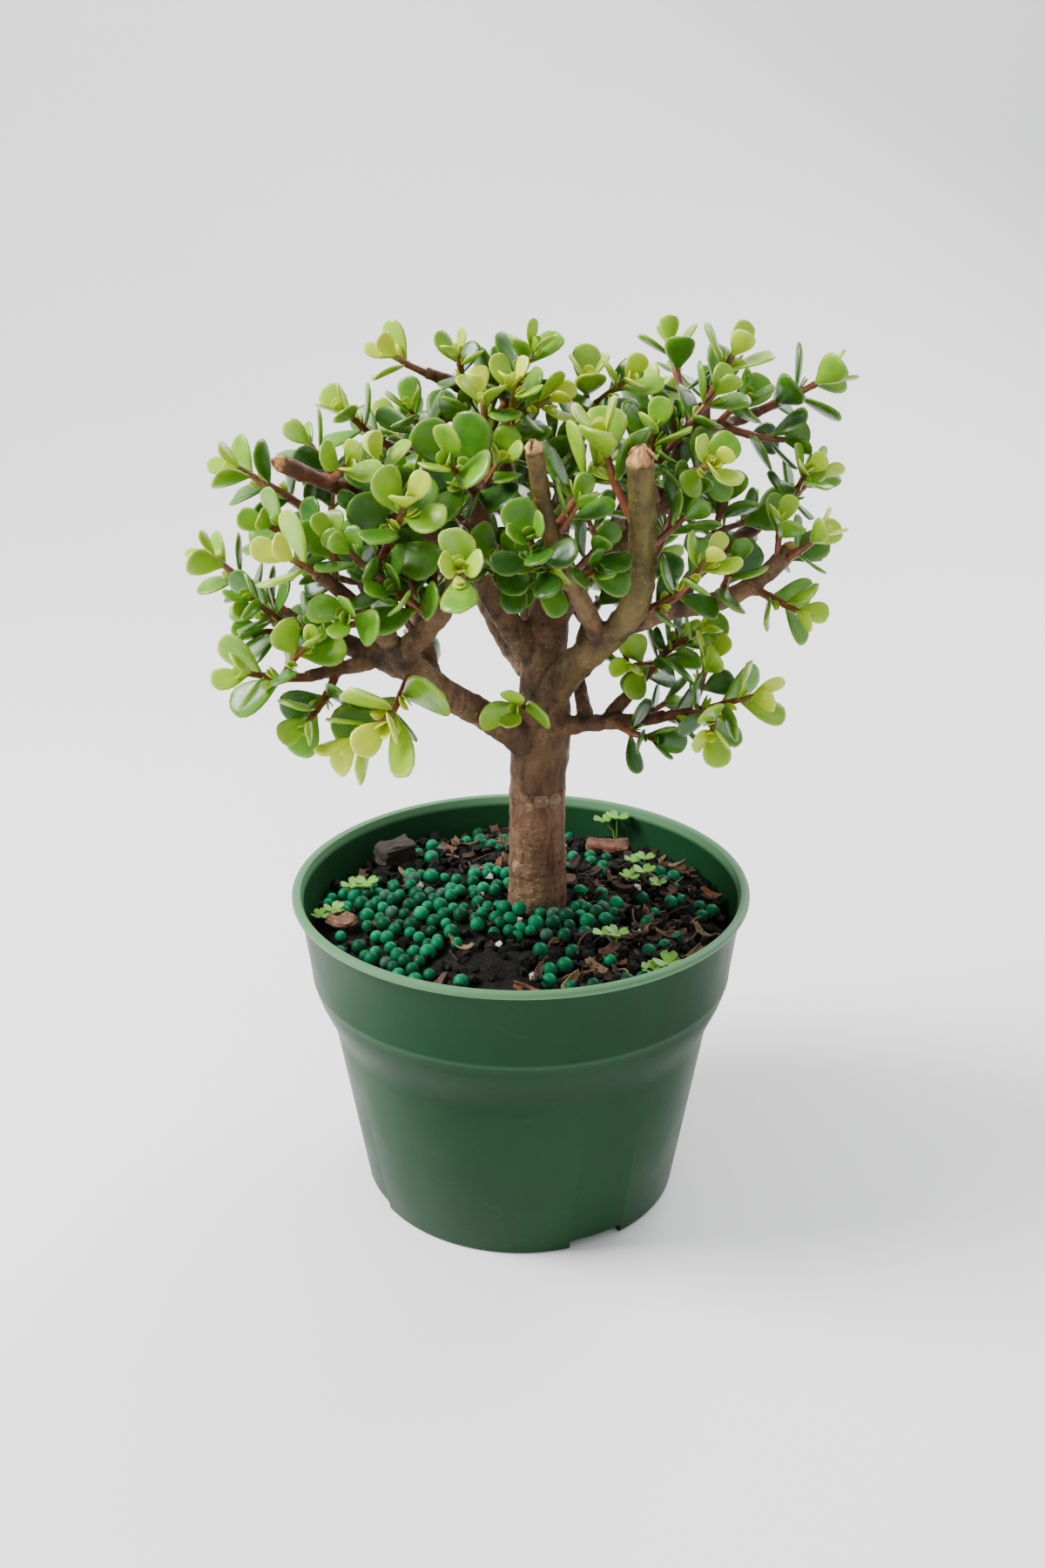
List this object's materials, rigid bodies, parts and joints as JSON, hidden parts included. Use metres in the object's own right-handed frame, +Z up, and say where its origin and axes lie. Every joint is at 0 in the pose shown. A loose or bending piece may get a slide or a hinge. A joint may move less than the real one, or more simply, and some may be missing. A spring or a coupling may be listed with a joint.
{
  "type": "dwarf jade bonsai",
  "caption": "Dwarf jade bonsai: a woody trunk and limbs with small thick leaves, growing in a round plastic nursery pot of potting mix.",
  "frame": {"origin": "middle of the pot's flat underside, on the floor", "axes": "+Z up along the pot's axis; -Y is the side shown in the picture, so +X is to its right"},
  "size_m": [0.2225, 0.165, 0.3184],
  "materials": {
    "pot_green": "satin",
    "potting_mix": "matte",
    "bark": "matte",
    "chip_bark": "matte",
    "clover_green": "satin",
    "leaf_green": "glossy"
  },
  "bodies": {
    "root": {"pot": "pot_green", "soil": "potting_mix", "trunk_and_limbs": "bark", "bark_chip_dark": "chip_bark", "bark_chip_red": "chip_bark", "bark_chip_left": "chip_bark", "clover_right": "clover_green", "clover_left": "clover_green", "shoot_left_front_rosette": "leaf_green", "shoot_left_front_under": "leaf_green", "shoot_middle_left_rosette": "leaf_green", "shoot_left_drooping": "leaf_green", "shoot_left_low_tip": "leaf_green", "shoot_left_low_under": "leaf_green", "shoot_left_far": "leaf_green", "shoot_left_far_under": "leaf_green", "shoot_left_upper_far": "leaf_green", "shoot_left_upper_mid": "leaf_green", "shoot_left_cut_leaf": "leaf_green", "shoot_left_inner": "leaf_green", "shoot_twig_base": "leaf_green", "shoot_twig_side": "leaf_green", "shoot_twig_back": "leaf_green", "shoot_top_left": "leaf_green", "shoot_top_left_mid": "leaf_green", "shoot_top_middle": "leaf_green", "shoot_top_front": "leaf_green", "shoot_left_twig": "leaf_green", "shoot_left_twig_front": "leaf_green", "shoot_middle_left": "leaf_green", "shoot_middle_top": "leaf_green", "shoot_middle_front": "leaf_green", "shoot_trunk_front": "leaf_green", "shoot_centre_upright": "leaf_green", "shoot_centre_left": "leaf_green", "shoot_centre_low": "leaf_green", "shoot_centre_round": "leaf_green", "shoot_middle_right": "leaf_green", "shoot_right_bud": "leaf_green", "shoot_top_right": "leaf_green", "shoot_top_right_back": "leaf_green", "shoot_far_top_right": "leaf_green", "shoot_far_top_right_low": "leaf_green", "shoot_right_mid": "leaf_green", "shoot_centre_fill": "leaf_green", "shoot_right_inner": "leaf_green", "shoot_right_upper": "leaf_green", "shoot_right_cut": "leaf_green", "shoot_right_under": "leaf_green", "shoot_right_limb_top": "leaf_green", "shoot_low_right_round": "leaf_green", "shoot_low_right_tip": "leaf_green", "shoot_low_right_upper": "leaf_green", "shoot_rear_left": "leaf_green", "shoot_back_left": "leaf_green", "shoot_back_left_low": "leaf_green", "shoot_back_middle": "leaf_green", "shoot_back_right": "leaf_green", "shoot_back_right_low": "leaf_green", "shoot_right_riser": "leaf_green"}
  },
  "joints": []
}
